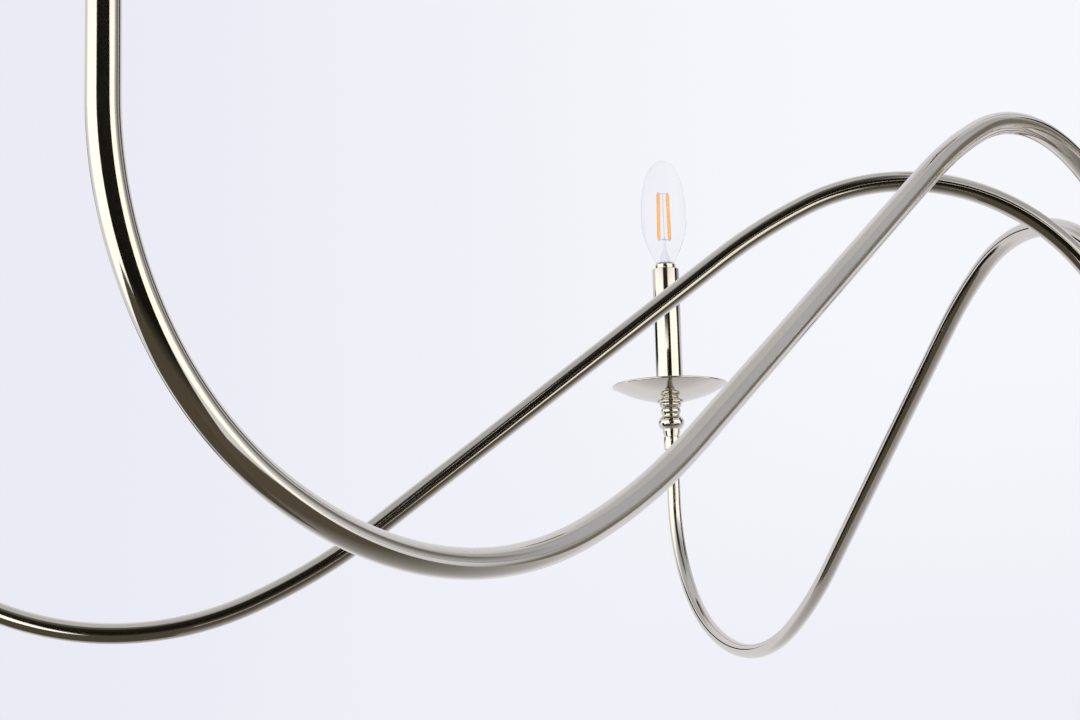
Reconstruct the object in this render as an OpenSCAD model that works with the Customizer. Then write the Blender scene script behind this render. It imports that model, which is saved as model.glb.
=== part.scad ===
// Multi arm chandelier: six bent tube arms on a rod-hung hub, each with a saucer, a candle sleeve and a bulb.
// Millimetres, +Z up. The origin is the middle of the ceiling bar's top face, so everything hangs below zero.

/* [Overall] */
// Height from the ceiling down to the top face of the hub plate
hang_drop = 600; // [450:10:1200]
// Directions of the arms round the hub, in degrees from +X
arm_azimuths = [60, 108, 180, 228, 300, 348];

/* [Arm tube] */
// Outer diameter of the arm tube
tube_d = 10; // [9:0.5:11]
// Wall thickness of the arm tube
tube_wall = 1; // [0.8:0.1:1.5]
// Radius of the circle that the arm feet stand on
foot_circle_r = 18.5; // [18:0.5:22]
// Height of the foot's straight above the hub plate
foot_rise = 4.5; // [4:0.5:10]
// Bend radius over the crown, next to the hub
crown_bend_r = 110; // [90:5:130]
// Bend radius where the crown runs out into the slope
ease_bend_r = 265; // [200:5:320]
// Turn of that easier bend in degrees
ease_turn = 11.1; // [6:0.1:14]
// Slope of the long straight below the horizontal in degrees
slope_angle = 36.8; // [32:0.1:42]
// Length of the long straight
slope_length = 210; // [150:5:260]
// Bend radius where the slope starts to turn up
entry_bend_r = 295; // [240:5:340]
// Turn of the entry bend in degrees
entry_turn = 13.5; // [8:0.1:18]
// Bend radius along the bottom of the U
bottom_bend_r = 157; // [130:1:180]
// Turn of the bottom bend in degrees
bottom_turn = 52.2; // [40:0.1:60]
// Bend radius up to the candle
rise_bend_r = 117; // [100:1:140]
// Length of the vertical straight under the candle
rise_length = 44; // [30:1:70]

/* [Candle] */
// Diameter of the saucer under the candle sleeve
saucer_d = 88; // [70:1:110]
// Depth of the saucer from its seat to its rim
saucer_depth = 12; // [8:1:18]
// Thickness of the saucer's metal
saucer_wall = 0.9; // [0.7:0.1:1.2]
// Outer diameter of the candle sleeve
sleeve_d = 20.6; // [20:0.1:24]
// Height of the candle sleeve
sleeve_h = 101.6; // [90:0.1:130]
// Largest diameter of the bulb's glass
bulb_d = 35; // [32:1:38]
// Height of the bulb's glass above its metal base
bulb_h = 80.8; // [70:0.1:90]

/* [Ceiling] */
// Diameter of the ceiling canopy
canopy_d = 130; // [115:5:160]
// Depth of the canopy below the ceiling
canopy_h = 30; // [26:1:34]
// Distance between the two ceiling box screws
box_screw_pitch = 89; // [70:1:92]
// Outer diameter of the hanging rod
rod_d = 13; // [12:0.5:14]

/* [Hub] */
// Diameter of the hub plate's core
hub_d = 60; // [58:1:66]
// Thickness of the hub plate
hub_plate_h = 9; // [8:0.5:12]
// Outer radius of the bowl under the hub plate
hub_bowl_r = 28; // [27:0.5:29]

/* [Hidden] */
$fn = 64;
nickel = [0.78, 0.75, 0.68];
steel = [0.62, 0.63, 0.64];
clear_glass = [0.9, 0.95, 1, 0.35];
amber = [1, 0.62, 0.25];
porcelain = [0.9, 0.89, 0.85];
// Running clearance, on the radius, where a piece turns in a hole
run_gap = 0.05;
// Clear gap between pieces of different bodies that must not touch
free_gap = 0.4;
// A cutting solid reaches this far past the face it cuts
past = 1;
// Overlap that makes two cut profiles meet cleanly
hair = 0.01;

// Arm tube: bends and straights from the foot to the candle, as [radius or length, turn]
up_turn = 90 + slope_angle;
crown_turn = up_turn - ease_turn;
rise_turn = up_turn - entry_turn - bottom_turn;
arm_run = [
    [foot_rise, 0],
    [crown_bend_r, crown_turn],
    [ease_bend_r, ease_turn],
    [slope_length, 0],
    [entry_bend_r, -entry_turn],
    [bottom_bend_r, -bottom_turn],
    [rise_bend_r, -rise_turn],
    [rise_length, 0]
];
// Neighbouring stretches are joined by a short lap, with the lapped one a hair thinner
lap = 1.2;
lap_step = 0.03;
// Place of the candle end, walked along the run as [radius, height, heading]
function run_end(i = 0, r = foot_circle_r, z = 0, heading = 90) =
    i == len(arm_run) ? [r, z]
    : arm_run[i][1] == 0
    ? run_end(i + 1, r + arm_run[i][0] * cos(heading), z + arm_run[i][0] * sin(heading), heading)
    : let (side = sign(arm_run[i][1]), size = arm_run[i][0], next = heading - arm_run[i][1])
      run_end(i + 1, r + side * size * (sin(heading) - sin(next)),
              z + side * size * (cos(next) - cos(heading)), next);
candle_r = run_end()[0];
candle_z = run_end()[1] - hang_drop;
tube_r = tube_d / 2;
stub_below = 5;
stub_depth = hub_plate_h + stub_below;
foot_collar_r = tube_r + 1.4;
foot_collar_h = 4;
// The collar stands this far clear of the hub plate, so that the arm can turn
foot_gap = 0.2;

// Turned cup on the arm's end, heights from its lower edge
cup_lap = 8.3;
cup_z = candle_z - cup_lap;
ferrule_h = 9.6;
ferrule_r = tube_r + 1.1;
taper_h = 15;
core_r = 6.8;
// The taper starts a step inside the ferrule and ends just outside the core
taper_foot_r = ferrule_r - 0.6;
taper_top_r = core_r + 0.2;
cup_h = 37.2;
seat_r = 10.2;
seat_h = 1.2;
wire_r = 3;
stem_thread_r = 4.9;
stem_thread_h = 14;
// Length of the threaded stem inside the cup
stem_root = 2;
// Each bead of the cup: height, ring radius, bead radius
cup_beads = [[20.5, 4.25, 5.65], [29.5, 4.3, 3.35], [34.4, 6.5, 1.9]];

// Saucer: part of a ball that passes through the seat's edge and the rim
saucer_z = cup_z + cup_h;
saucer_r = saucer_d / 2;
saucer_seat_r = 11;
ball_z = (saucer_r ^ 2 - saucer_seat_r ^ 2 + saucer_depth ^ 2) / (2 * saucer_depth);
ball_r = sqrt(saucer_seat_r ^ 2 + ball_z ^ 2);
rim_bead_r = 0.9;

// Candle sleeve and lamp socket
sleeve_z = saucer_z + saucer_wall;
sleeve_wall = 0.9;
socket_r = 8.4;
socket_h = 34;
socket_inset = 1.3;
socket_top = sleeve_z + sleeve_h - socket_inset;
socket_foot_r = 7.5;
socket_foot_h = 12;
strap_w = 8;
strap_t = 2;
// The strap stands this far out of the socket's foot
strap_out = 0.5;

// Bulb
screw_r = 5.9;
screw_h = 20;
contact_r = 3;
contact_h = 2;
skirt_r = 7.9;
skirt_z = socket_top + free_gap;
skirt_show = 5;
skirt_crimp = 0.9;
skirt_crimp_h = 1.5;
glass_z = sleeve_z + sleeve_h + skirt_show;
glass_wall = 0.8;
glass_neck_r = 7;
glass_belly = 33.4;
belly_power = 2.3;
filament_r = 1.2;
filament_h = 37;
filament_z = 18.4;
filament_gap = 4.5;
filament_lean = 1;
lead_r = 0.35;
// The leads join a filament this far from its ends
lead_inset = 0.6;
stem_foot_r = 4.5;
stem_tip_r = 1.4;
// The glass stem ends this far below the filaments
stem_drop = 4;

// Ceiling bar, nipple and canopy
bar_l = 108;
bar_w = 20;
bar_t = 2.5;
screw_hole_r = 2.4;
nipple_r = 5;
nipple_h = 36;
wire_way_r = 3.5;
nut_h = 4;
nut_across = 15;
canopy_wall = 1.2;
canopy_lip_h = 5;
ring_r = 20;
ring_h = 6;
// The flat under the canopy is wider than its ring by this much on the radius
ring_margin = 6;
hole_margin = 0.5;
notch_count = 24;
notch_r = 0.8;
notch_out = 0.2;

// Crossed-pin swivel that lets the rod hang straight
barrel_r = 12.5;
barrel_top = -canopy_h + 4;
barrel_h = 16;
pivot_drop = 14;
pivot_z = barrel_top - barrel_h - pivot_drop;
pin_r = 2.5;
ear_in = 6.8;
ear_t = 4.2;
ear_r = 6;
// An ear's shank is narrower than its eye by this much on each side
ear_ease = 0.3;
cross_size = 12;
rod_head_r = 12;
rod_head_h = 12;

// Rod and hub
hub_z = -hang_drop;
rod_r = rod_d / 2;
rod_wall = 1.5;
rod_below = 12;
rod_end = hub_z - hub_plate_h - hub_bowl_r - rod_below;
rod_bead_r = 2;
rod_bead_out = 0.5;
// The cross hole for the wires is this far below the hub plate
wire_hole_drop = 8;
shoulder_r = 10.5;
shoulder_h = 6;
hub_r = hub_d / 2;
hub_edge_r = 4;
hub_edge_in = 1;
bowl_wall = 1.5;
boss_r = 10;
boss_h = 2.5;
finial_z = hub_z - hub_plate_h - hub_bowl_r;
finial_ball_r = 13;
finial_tip_r = 4.5;
finial_flange_h = 3;
finial_flange_out = 1;
finial_neck_h = 4;
finial_neck_out = 2;
// The ball swallows this much of the neck, and the tip stands this far out of the ball
finial_sink = 3;
finial_tip_out = 1.5;
arm_nut_across = 12;

// A ring of round section; one thicker than its ring closes up at the middle
module ring_bead(ring, bead) {
    rotate_extrude()
        intersection() {
            translate([ring, 0])
                circle(r = bead);
            translate([0, -bead])
                square([ring + bead, 2 * bead]);
        }
}

// A round bar with a round hole right through it, from z = 0 up
module bushing(outer, inner, h) {
    difference() {
        cylinder(h = h, r = outer);
        translate([0, 0, -past])
            cylinder(h = h + 2 * past, r = inner);
    }
}

// A hexagon nut with a plain hole, from z = 0 up
module hex_nut(across, hole_r, h) {
    difference() {
        cylinder(h = h, d = across / cos(30), $fn = 6);
        translate([0, 0, -past])
            cylinder(h = h + 2 * past, r = hole_r);
    }
}

// Places its children at an arm's candle, with +X pointing away from the hub
module at_candle(i) {
    rotate([0, 0, arm_azimuths[i - 1]])
        translate([candle_r, 0, 0])
            children();
}

// Section of the arm tube; the lapped section is a hair thinner all round
module tube_section(lapped) {
    difference() {
        circle(r = tube_r - (lapped ? lap_step : 0));
        circle(r = tube_r - tube_wall - (lapped ? 0 : lap_step));
    }
}

// One straight stretch along +Y
module tube_straight(length, before, after, lapped) {
    translate([0, -before, 0])
        rotate([-90, 0, 0])
            linear_extrude(length + before + after)
                tube_section(lapped);
}

// One bend that starts along +Y; a positive turn bends towards +X
module tube_bend(radius, turn, before, after, lapped) {
    lead_in = before / radius * 180 / PI;
    lead_out = after / radius * 180 / PI;
    mirror([turn > 0 ? 1 : 0, 0, 0])
        translate([-radius, 0, 0])
            rotate([0, 0, -lead_in])
                rotate_extrude(angle = abs(turn) + lead_in + lead_out)
                    translate([radius, 0])
                        tube_section(lapped);
}

// The run of stretches from number i on, each one starting where the last one ends
module tube_run(i = 0) {
    if (i < len(arm_run)) {
        size = arm_run[i][0];
        turn = arm_run[i][1];
        lapped = i % 2 == 1;
        before = lapped ? lap : 0;
        after = lapped && i < len(arm_run) - 1 ? lap : 0;
        if (turn == 0) {
            tube_straight(size + (i == 0 ? stub_depth : 0), before, after, lapped);
            translate([0, size + (i == 0 ? stub_depth : 0), 0])
                tube_run(i + 1);
        } else {
            tube_bend(size, turn, before, after, lapped);
            translate([sign(turn) * size * (1 - cos(turn)), size * sin(abs(turn)), 0])
                rotate([0, 0, -turn])
                    tube_run(i + 1);
        }
    }
}

// Bent arm tube with the collar that seats it on the hub plate
module arm(i) {
    color(nickel)
        rotate([0, 0, arm_azimuths[i - 1]])
            translate([foot_circle_r, 0, hub_z]) {
                translate([0, 0, -stub_depth])
                    rotate([90, 0, 0])
                        tube_run();
                translate([0, 0, foot_gap])
                    bushing(foot_collar_r, tube_r - tube_wall / 2, foot_collar_h);
            }
}

// Turned cup: ferrule, taper, three beads and a thin seat, with a threaded stem on top
module cup(i) {
    color(nickel)
        at_candle(i)
            translate([0, 0, cup_z])
                difference() {
                    union() {
                        cylinder(h = ferrule_h, r = ferrule_r);
                        translate([0, 0, ferrule_h])
                            cylinder(h = taper_h - ferrule_h, r1 = taper_foot_r, r2 = taper_top_r);
                        translate([0, 0, taper_h])
                            cylinder(h = cup_h - taper_h - seat_h / 2, r = core_r);
                        for (bead = cup_beads)
                            translate([0, 0, bead[0]])
                                ring_bead(bead[1], bead[2]);
                        translate([0, 0, cup_h - seat_h])
                            cylinder(h = seat_h, r = seat_r);
                        translate([0, 0, cup_h - stem_root])
                            cylinder(h = stem_thread_h + stem_root, r = stem_thread_r);
                    }
                    translate([0, 0, -past])
                        cylinder(h = cup_lap + past, r = tube_r);
                    cylinder(h = cup_h + stem_thread_h + past, r = wire_r);
                }
}

// Shallow saucer with a flat seat, a spherical dish and a fine rolled rim
module bobeche(i) {
    color(nickel)
        at_candle(i)
            translate([0, 0, saucer_z])
                difference() {
                    union() {
                        intersection() {
                            translate([0, 0, ball_z])
                                sphere(r = ball_r, $fn = 128);
                            cylinder(h = saucer_depth, r = saucer_d);
                        }
                        translate([0, 0, saucer_depth])
                            ring_bead(saucer_r - rim_bead_r, rim_bead_r);
                    }
                    intersection() {
                        translate([0, 0, ball_z])
                            sphere(r = ball_r - saucer_wall, $fn = 128);
                        translate([0, 0, saucer_wall])
                            cylinder(h = saucer_d, r = saucer_d);
                    }
                    translate([0, 0, -past])
                        cylinder(h = 2 * past + saucer_wall, r = stem_thread_r);
                }
}

// Plain metal candle sleeve
module sleeve(i) {
    color(nickel)
        at_candle(i)
            translate([0, 0, sleeve_z])
                bushing(sleeve_d / 2, sleeve_d / 2 - sleeve_wall, sleeve_h);
}

// Lamp socket on its strap, screwed to the cup's stem inside the sleeve
module socket(i) {
    color(porcelain)
        at_candle(i) {
            translate([0, 0, sleeve_z])
                bushing(socket_foot_r, stem_thread_r, socket_foot_h);
            translate([-strap_w / 2, socket_foot_r - strap_t + strap_out, sleeve_z + socket_foot_h / 2])
                cube([strap_w, strap_t, socket_top - socket_h - sleeve_z]);
            difference() {
                translate([0, 0, socket_top - socket_h])
                    cylinder(h = socket_h, r = socket_r);
                translate([0, 0, skirt_z - screw_h - contact_h - free_gap])
                    cylinder(h = screw_h + 2 * contact_h + past, r = screw_r + free_gap);
            }
        }
}

// Bulb's metal base: contact, screw shell and the skirt that shows above the sleeve
module bulb_base(i) {
    color(nickel)
        at_candle(i) {
            translate([0, 0, skirt_z - screw_h - contact_h])
                cylinder(h = contact_h + past, r = contact_r);
            translate([0, 0, skirt_z - screw_h])
                cylinder(h = screw_h + past, r = screw_r);
            translate([0, 0, skirt_z])
                cylinder(h = glass_z - skirt_z - skirt_crimp_h, r = skirt_r);
            translate([0, 0, glass_z - skirt_crimp_h])
                cylinder(h = skirt_crimp_h, r1 = skirt_r, r2 = skirt_r - skirt_crimp);
        }
}

// Radius of the bulb's glass at a height above its neck
function glass_r(z) =
    z < glass_belly
    ? glass_neck_r + (bulb_d / 2 - glass_neck_r) * sin(90 * z / glass_belly)
    : bulb_d / 2 * max(0, 1 - ((z - glass_belly) / (bulb_h - glass_belly)) ^ belly_power) ^ (1 / belly_power);

// Half outline of the glass, taken in by a margin
glass_steps = 20;
function glass_outline(margin) = [
    for (k = [0:glass_steps])
        let (share = sin(90 * k / glass_steps))
        [k == glass_steps ? 0 : glass_r(bulb_h * share) - margin, (bulb_h - margin) * share]
];

// Candle shaped clear glass, open at its neck
module bulb_glass(i) {
    color(clear_glass)
        at_candle(i)
            translate([0, 0, glass_z])
                rotate_extrude()
                    difference() {
                        polygon(concat([[0, 0]], glass_outline(0)));
                        translate([0, -hair])
                            polygon(concat([[0, 0]], glass_outline(glass_wall)));
                    }
}

// Glass stem with two upright filaments and their leads
module filament(i) {
    stem_h = filament_z - stem_drop;
    color(amber)
        at_candle(i)
            translate([0, 0, glass_z]) {
                cylinder(h = stem_h, r1 = stem_foot_r, r2 = stem_tip_r);
                translate([0, 0, stem_h - past])
                    cylinder(h = stem_drop + filament_h + past, r = lead_r);
                for (side = [-1, 1])
                    translate([0, side * filament_gap, filament_z])
                        rotate([side * filament_lean, 0, 0]) {
                            cylinder(h = filament_h, r = filament_r);
                            for (end = [lead_inset, filament_h - lead_inset])
                                translate([0, side * lead_r, end])
                                    rotate([side * 90, 0, 0])
                                        cylinder(h = filament_gap + 2 * lead_r, r = lead_r);
                        }
                translate([0, 0, filament_z + lead_inset])
                    cylinder(h = 2 * stem_tip_r, r = stem_tip_r, center = true);
            }
}

// Steel bar that screws to the ceiling box
module crossbar() {
    color(steel)
        difference() {
            translate([-bar_l / 2, -bar_w / 2, -bar_t])
                cube([bar_l, bar_w, bar_t]);
            for (x = [-box_screw_pitch / 2, box_screw_pitch / 2])
                translate([x, 0, -bar_t - past])
                    cylinder(h = bar_t + 2 * past, r = screw_hole_r);
            translate([0, 0, -bar_t - past])
                cylinder(h = bar_t + 2 * past, r = nipple_r);
        }
}

// Threaded tube that carries the load and lets the wires through
module nipple() {
    color(steel)
        translate([0, 0, -nipple_h])
            bushing(nipple_r, wire_way_r, nipple_h);
}

// One nut under the bar and one on top of the swivel
module nipple_nuts() {
    color(steel)
        for (z = [-bar_t - nut_h, barrel_top])
            translate([0, 0, z])
                hex_nut(nut_across, nipple_r, nut_h);
}

// One skin of the canopy: a ball cap below a straight lip, moved in by a margin
module canopy_skin(margin, above) {
    dome_h = canopy_h - canopy_lip_h;
    flat_r = ring_r + ring_margin;
    ball_up = ((canopy_d / 2) ^ 2 - flat_r ^ 2 - dome_h ^ 2) / (2 * dome_h);
    ball = sqrt((canopy_d / 2) ^ 2 + ball_up ^ 2);
    intersection() {
        translate([0, 0, ball_up])
            sphere(r = ball - margin, $fn = 128);
        translate([0, 0, -dome_h + margin])
            cylinder(h = dome_h - margin, r = canopy_d);
    }
    cylinder(h = canopy_lip_h + above, r = canopy_d / 2 - margin);
}

// Domed ceiling canopy with a straight lip
module canopy() {
    color(nickel)
        translate([0, 0, -canopy_lip_h])
            difference() {
                canopy_skin(0, 0);
                canopy_skin(canopy_wall, past);
                translate([0, 0, -canopy_h])
                    cylinder(h = canopy_h, r = barrel_r + hole_margin);
            }
}

// Knurled ring that screws on the swivel's barrel and holds the canopy up
module canopy_ring() {
    color(nickel)
        translate([0, 0, -canopy_h - ring_h])
            difference() {
                bushing(ring_r, barrel_r, ring_h);
                for (k = [0:notch_count - 1])
                    rotate([0, 0, k * 360 / notch_count])
                        translate([ring_r + notch_out, 0, -past])
                            cylinder(h = ring_h + 2 * past, r = notch_r);
            }
}

// Two bored ears along X, from their pivot down by a length; a negative length goes up
module ears(length) {
    for (side = [-1, 1])
        difference() {
            union() {
                translate([side * (ear_in + ear_t / 2), 0, 0])
                    rotate([0, 90, 0])
                        cylinder(h = ear_t, r = ear_r, center = true);
                translate([side * (ear_in + ear_t / 2) - ear_t / 2, -ear_r + ear_ease, min(0, -length)])
                    cube([ear_t, 2 * (ear_r - ear_ease), abs(length)]);
            }
            translate([side * (ear_in + ear_t / 2), 0, 0])
                rotate([0, 90, 0])
                    cylinder(h = ear_t + 2 * past, r = pin_r + run_gap, center = true);
        }
}

// Fixed half of the hanging swivel: threaded barrel with two ears
module swivel_yoke() {
    color(nickel) {
        translate([0, 0, barrel_top - barrel_h])
            difference() {
                cylinder(h = barrel_h, r = barrel_r);
                translate([0, 0, -past])
                    cylinder(h = barrel_h + 2 * past, r = wire_way_r + hole_margin);
                translate([0, 0, barrel_h - barrel_top - nipple_h])
                    cylinder(h = barrel_h, r = nipple_r);
            }
        translate([0, 0, pivot_z])
            ears(-pivot_drop - past);
    }
}

// Middle block of the swivel with a pin along X and a pin along Y
module swivel_cross() {
    pin_l = 2 * (ear_in + ear_t);
    color(steel)
        translate([0, 0, pivot_z])
            difference() {
                union() {
                    cube(cross_size, center = true);
                    for (turn = [0, 90])
                        rotate([0, 90, turn])
                            cylinder(h = pin_l, r = pin_r, center = true);
                }
                cylinder(h = 2 * cross_size, r = wire_r, center = true);
            }
}

// Hanging rod: swivel ears and head at the top, a shoulder for the hub, and an end thread
module downrod() {
    head_top = pivot_z - pivot_drop;
    wire_hole_r = 3.5;
    color(nickel)
        difference() {
            union() {
                translate([0, 0, pivot_z])
                    rotate([0, 0, 90])
                        ears(pivot_drop + past);
                translate([0, 0, head_top - rod_head_h])
                    cylinder(h = rod_head_h, r = rod_head_r);
                translate([0, 0, rod_end])
                    cylinder(h = head_top - rod_end - rod_head_h / 2, r = rod_r);
                translate([0, 0, head_top - rod_head_h])
                    ring_bead(rod_r + rod_bead_out, rod_bead_r);
                translate([0, 0, hub_z])
                    cylinder(h = shoulder_h, r = shoulder_r);
            }
            translate([0, 0, rod_end - past])
                cylinder(h = head_top - rod_end - rod_head_h, r = rod_r - rod_wall);
            translate([0, 0, head_top - rod_head_h - past])
                cylinder(h = rod_head_h + 2 * past, r = wire_way_r);
            translate([0, 0, hub_z - hub_plate_h - wire_hole_drop])
                rotate([0, 90, 0])
                    cylinder(h = rod_d + 2 * past, r = wire_hole_r, center = true);
        }
}

// Hub plate: a turned disc with a full edge bead and one running hole for each arm
module hub_plate() {
    color(nickel)
        translate([0, 0, hub_z - hub_plate_h])
            difference() {
                union() {
                    cylinder(h = hub_plate_h, r = hub_r);
                    translate([0, 0, hub_plate_h / 2])
                        ring_bead(hub_r - hub_edge_in, hub_edge_r);
                }
                translate([0, 0, -past])
                    cylinder(h = hub_plate_h + 2 * past, r = rod_r);
                for (a = arm_azimuths)
                    rotate([0, 0, a])
                        translate([foot_circle_r, 0, -past])
                            cylinder(h = hub_plate_h + 2 * past, r = tube_r + run_gap);
            }
}

// Lock nuts on the arm stubs, inside the bowl
module arm_nuts() {
    color(steel)
        for (a = arm_azimuths)
            rotate([0, 0, a])
                translate([foot_circle_r, 0, hub_z - hub_plate_h - nut_h])
                    hex_nut(arm_nut_across, tube_r + run_gap, nut_h);
}

// Half-ball bowl that hides the nuts and the wire joints, with a flat boss below
module hub_bowl() {
    color(nickel)
        translate([0, 0, hub_z - hub_plate_h])
            difference() {
                union() {
                    intersection() {
                        sphere(r = hub_bowl_r, $fn = 128);
                        translate([0, 0, -hub_bowl_r])
                            cylinder(h = hub_bowl_r, r = hub_d);
                    }
                    translate([0, 0, -hub_bowl_r])
                        cylinder(h = boss_h, r = boss_r);
                }
                sphere(r = hub_bowl_r - bowl_wall, $fn = 128);
                translate([0, 0, -2 * hub_bowl_r])
                    cylinder(h = 2 * hub_bowl_r, r = rod_r);
            }
}

// Turned finial that screws on the rod's end and clamps the hub together
module finial() {
    ball_drop = finial_flange_h + finial_neck_h + finial_ball_r - finial_sink;
    tip_drop = ball_drop + finial_ball_r + finial_tip_out;
    color(nickel)
        translate([0, 0, finial_z])
            difference() {
                union() {
                    translate([0, 0, -finial_flange_h])
                        cylinder(h = finial_flange_h, r = boss_r + finial_flange_out);
                    translate([0, 0, -ball_drop])
                        cylinder(h = ball_drop - finial_flange_h / 2, r = rod_r + finial_neck_out);
                    translate([0, 0, -ball_drop])
                        sphere(r = finial_ball_r);
                    translate([0, 0, -tip_drop])
                        sphere(r = finial_tip_r);
                }
                translate([0, 0, rod_end - finial_z])
                    cylinder(h = finial_z - rod_end + past, r = rod_r);
            }
}

crossbar();
nipple();
nipple_nuts();
canopy();
canopy_ring();
swivel_yoke();
swivel_cross();
downrod();
hub_plate();
arm_nuts();
hub_bowl();
finial();
arm(1);  // arm_1
cup(1);  // cup_1
bobeche(1);  // bobeche_1
sleeve(1);  // sleeve_1
socket(1);  // socket_1
bulb_base(1);  // bulb_base_1
bulb_glass(1);  // bulb_glass_1
filament(1);  // filament_1
arm(2);  // arm_2
cup(2);  // cup_2
bobeche(2);  // bobeche_2
sleeve(2);  // sleeve_2
socket(2);  // socket_2
bulb_base(2);  // bulb_base_2
bulb_glass(2);  // bulb_glass_2
filament(2);  // filament_2
arm(3);  // arm_3
cup(3);  // cup_3
bobeche(3);  // bobeche_3
sleeve(3);  // sleeve_3
socket(3);  // socket_3
bulb_base(3);  // bulb_base_3
bulb_glass(3);  // bulb_glass_3
filament(3);  // filament_3
arm(4);  // arm_4
cup(4);  // cup_4
bobeche(4);  // bobeche_4
sleeve(4);  // sleeve_4
socket(4);  // socket_4
bulb_base(4);  // bulb_base_4
bulb_glass(4);  // bulb_glass_4
filament(4);  // filament_4
arm(5);  // arm_5
cup(5);  // cup_5
bobeche(5);  // bobeche_5
sleeve(5);  // sleeve_5
socket(5);  // socket_5
bulb_base(5);  // bulb_base_5
bulb_glass(5);  // bulb_glass_5
filament(5);  // filament_5
arm(6);  // arm_6
cup(6);  // cup_6
bobeche(6);  // bobeche_6
sleeve(6);  // sleeve_6
socket(6);  // socket_6
bulb_base(6);  // bulb_base_6
bulb_glass(6);  // bulb_glass_6
filament(6);  // filament_6
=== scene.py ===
"""Multi arm chandelier: the looks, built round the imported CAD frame.

Metres, +Z up, with the origin on the ceiling. Small details are given in millimetres and scaled by MM.
"""
import math

import bpy
from mathutils import Matrix, Vector


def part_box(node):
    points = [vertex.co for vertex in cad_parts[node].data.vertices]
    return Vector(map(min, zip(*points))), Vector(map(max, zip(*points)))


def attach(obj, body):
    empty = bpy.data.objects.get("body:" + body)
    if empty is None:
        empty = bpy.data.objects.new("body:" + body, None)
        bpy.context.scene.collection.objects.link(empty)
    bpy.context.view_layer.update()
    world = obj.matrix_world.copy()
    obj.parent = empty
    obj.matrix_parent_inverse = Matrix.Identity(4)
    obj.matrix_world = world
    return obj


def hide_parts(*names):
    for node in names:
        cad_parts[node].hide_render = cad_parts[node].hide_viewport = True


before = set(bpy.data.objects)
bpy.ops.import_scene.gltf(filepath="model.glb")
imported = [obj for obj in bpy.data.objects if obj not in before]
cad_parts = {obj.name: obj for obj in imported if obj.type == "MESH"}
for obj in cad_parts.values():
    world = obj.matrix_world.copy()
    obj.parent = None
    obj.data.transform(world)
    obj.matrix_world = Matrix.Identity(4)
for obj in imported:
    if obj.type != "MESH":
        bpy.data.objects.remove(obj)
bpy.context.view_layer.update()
MM = 0.001
ARMS = range(1, 7)

# ---------------------------------------------------------------- places taken from the frame

HUB_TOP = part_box("hub_plate")[1].z
HUB_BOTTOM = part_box("hub_plate")[0].z
ROD_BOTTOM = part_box("downrod")[0].z
CANOPY_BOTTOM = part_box("canopy")[0].z
RING_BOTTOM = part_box("canopy_ring")[0].z
PIVOT = sum(corner.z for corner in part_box("swivel_cross")) / 2


def candle_axis(number):
    """The vertical axis of an arm's candle at rest, as (x, y, azimuth)."""
    low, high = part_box(f"cup_{number}")
    x, y = (low.x + high.x) / 2, (low.y + high.y) / 2
    return x, y, math.atan2(y, x)


def candle_place(number):
    """A function that gives the place on an arm's candle axis at a height, turned to the arm's azimuth."""
    x, y, azimuth = candle_axis(number)

    def at(height):
        return Matrix.Translation((x, y, height)) @ Matrix.Rotation(azimuth, 4, "Z")
    return at


CUP_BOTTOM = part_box("cup_1")[0].z
SAUCER_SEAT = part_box("bobeche_1")[0].z
SLEEVE_BOTTOM, SLEEVE_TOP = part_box("sleeve_1")[0].z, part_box("sleeve_1")[1].z
SOCKET_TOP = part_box("socket_1")[1].z
GLASS_BOTTOM, GLASS_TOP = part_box("bulb_glass_1")[0].z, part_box("bulb_glass_1")[1].z
BASE_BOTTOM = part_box("bulb_base_1")[0].z

# ---------------------------------------------------------------- outlines and meshes


def arc(centre, radius, start, end, steps=10):
    """Points on an arc in an outline plane, (across, up), from one angle to another in degrees."""
    turn = [math.radians(start + (end - start) * k / steps) for k in range(steps + 1)]
    return [(centre[0] + radius * math.cos(a), centre[1] + radius * math.sin(a)) for a in turn]


def rounded(corners, loop=False, steps=4):
    """An outline of corners (across, up, radius). One without a radius, or at an open end, stays sharp."""
    outline = []
    for k, corner in enumerate(corners):
        here = Vector(corner[:2])
        radius = corner[2] if len(corner) > 2 else 0
        if radius == 0 or (not loop and k in (0, len(corners) - 1)):
            outline.append(tuple(here))
            continue
        before = (Vector(corners[k - 1][:2]) - here).normalized()
        after = (Vector(corners[(k + 1) % len(corners)][:2]) - here).normalized()
        half = before.angle(after) / 2
        reach = radius / math.tan(half)
        centre = here + (before + after).normalized() * (radius / math.sin(half))
        first, last = here + before * reach - centre, here + after * reach - centre
        sweep = first.angle_signed(last)
        for s in range(steps + 1):
            outline.append(tuple(centre + Matrix.Rotation(-sweep * s / steps, 2) @ first))
    return outline


def new_piece(name, points, faces, uvs, place, material, sharp=40):
    """A mesh piece with smooth shading, edges sharper than an angle kept crisp, and its own UV map."""
    mesh = bpy.data.meshes.new(name)
    mesh.from_pydata(points, [], faces)
    layer = mesh.uv_layers.new(name="grain")
    for loop, uv in zip(layer.data, uvs):
        loop.uv = uv
    mesh.transform(place)
    mesh.validate()
    mesh.shade_smooth()
    mesh.set_sharp_from_angle(angle=math.radians(sharp))
    mesh.materials.append(material)
    piece = bpy.data.objects.new(name, mesh)
    bpy.context.scene.collection.objects.link(piece)
    return piece


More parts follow.
